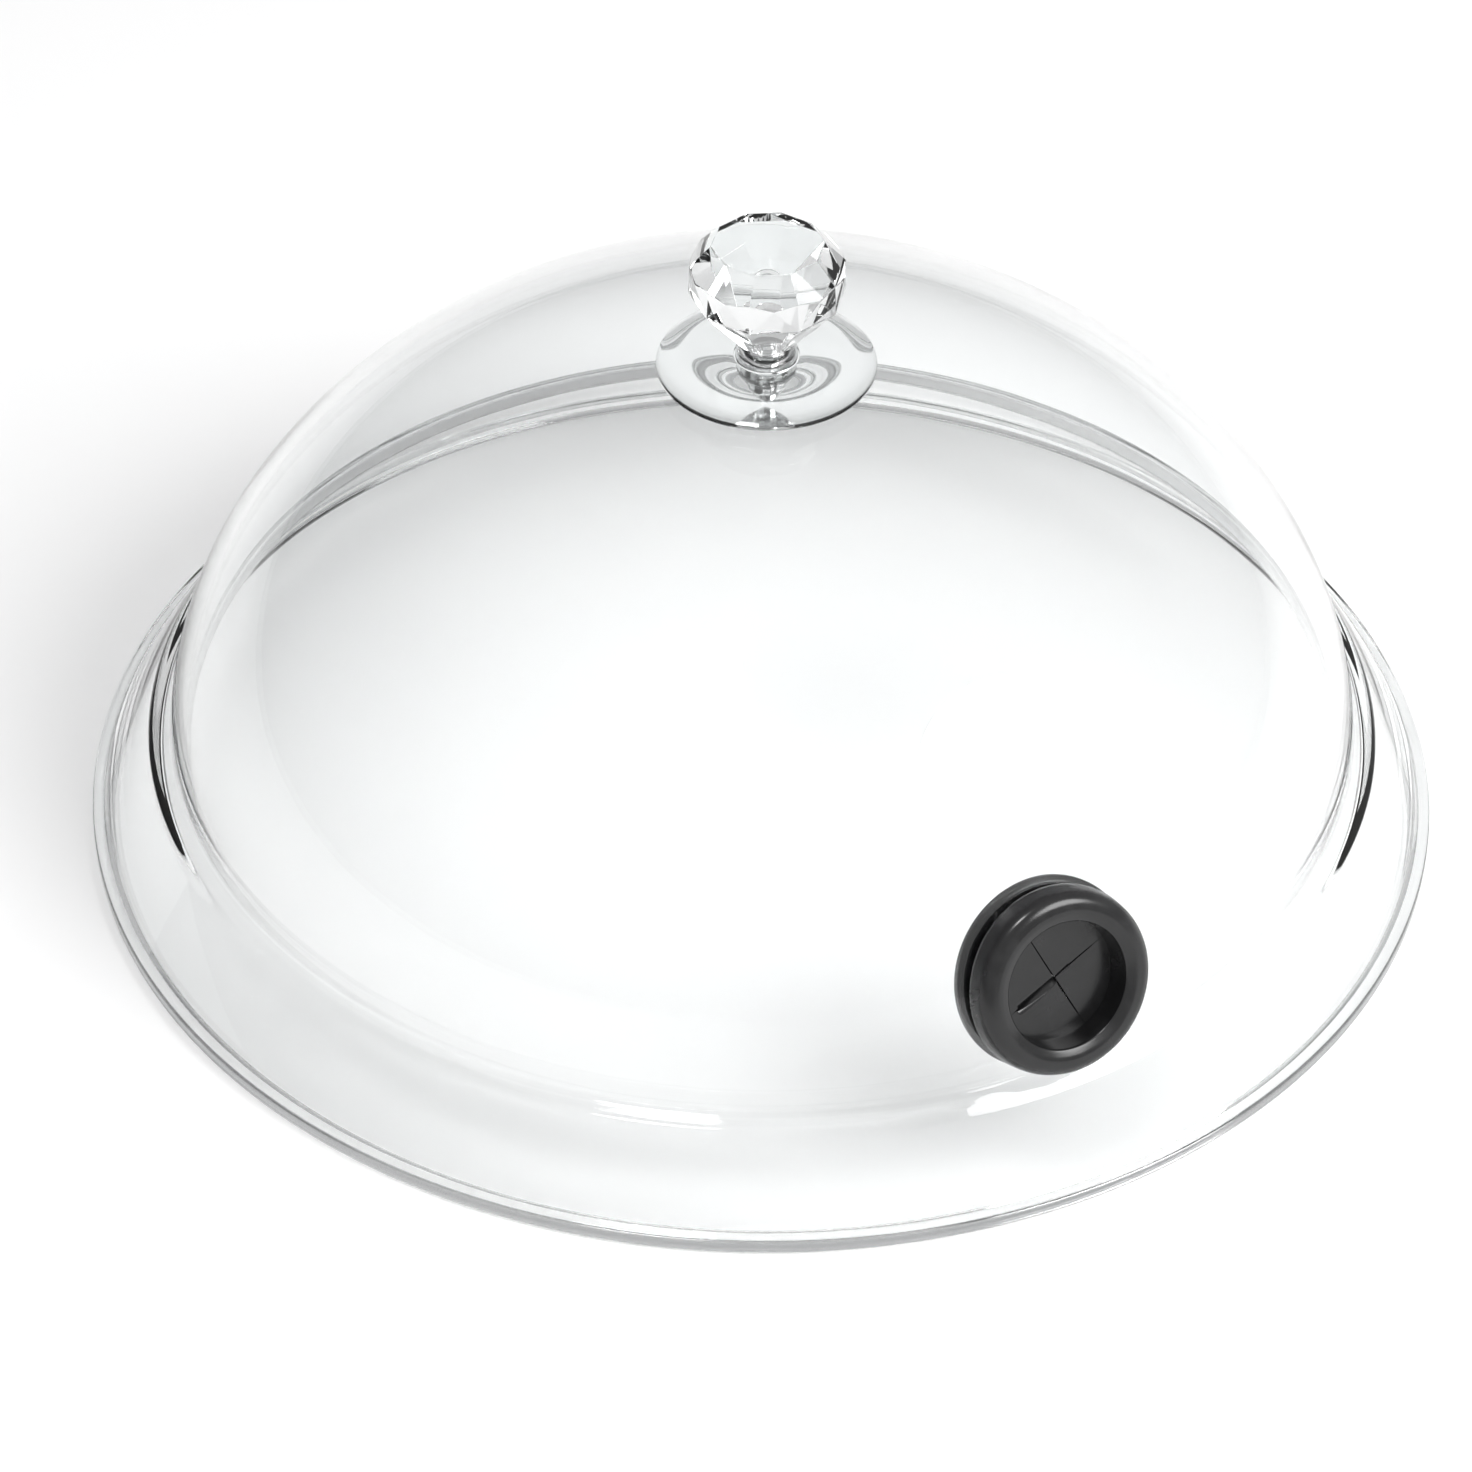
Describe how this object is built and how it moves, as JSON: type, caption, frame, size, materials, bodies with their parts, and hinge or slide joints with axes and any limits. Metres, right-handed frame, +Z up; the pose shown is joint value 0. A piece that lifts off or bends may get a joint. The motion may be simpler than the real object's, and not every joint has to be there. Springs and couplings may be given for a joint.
{
  "type": "humidity dome cover",
  "caption": "Clear domed cover with a stepped flared rim, a faceted lifting knob on a round base disc and a rubber slit-valve port low on the wall.",
  "frame": {"origin": "centre of the circle that the rim stands on, at the rim's bottom face", "axes": "+Z up along the dome's axis, -Y towards the side that carries the port, +X to the right of the port seen from outside"},
  "size_m": [0.254, 0.254, 0.1234],
  "materials": {
    "clear_acrylic": "clear, polished, moulded",
    "knob_crystal": "clear, faceted, polished",
    "black_rubber": "moulded, satin",
    "clear_silicone": "translucent, matt",
    "clear_polycarbonate": "clear, moulded"
  },
  "bodies": {
    "cover": {"dome_shell": "clear_acrylic", "port_grommet": "black_rubber", "knob_head": "knob_crystal", "knob_base": "knob_crystal", "knob_gasket": "clear_silicone", "inner_seal": "clear_silicone", "screw_washer": "clear_polycarbonate", "knob_screw": "clear_polycarbonate"},
    "flap_top": {"valve_flap_top": "black_rubber"},
    "flap_left": {"valve_flap_left": "black_rubber"},
    "flap_bottom": {"valve_flap_bottom": "black_rubber"},
    "flap_right": {"valve_flap_right": "black_rubber"}
  },
  "joints": [
    {"name": "flap_top_bend", "type": "hinge", "parent": "cover", "child": "flap_top", "pos_m": [0.00238, -0.10436, 0.04077], "axis": [0.9272, -0.1349, -0.3495], "range_deg": [-40, 85], "stiffness_Nm_per_rad": 0.0015},
    {"name": "flap_left_bend", "type": "hinge", "parent": "cover", "child": "flap_left", "pos_m": [-0.0059, -0.10562, 0.03749], "axis": [0.3746, 0.3338, 0.865], "range_deg": [-40, 85], "stiffness_Nm_per_rad": 0.0015},
    {"name": "flap_bottom_bend", "type": "hinge", "parent": "cover", "child": "flap_bottom", "pos_m": [-0.00238, -0.1086, 0.02977], "axis": [-0.9272, 0.1349, 0.3495], "range_deg": [-40, 85], "stiffness_Nm_per_rad": 0.0015},
    {"name": "flap_right_bend", "type": "hinge", "parent": "cover", "child": "flap_right", "pos_m": [0.0059, -0.10734, 0.03304], "axis": [-0.3746, -0.3338, -0.865], "range_deg": [-40, 85], "stiffness_Nm_per_rad": 0.0015}
  ]
}
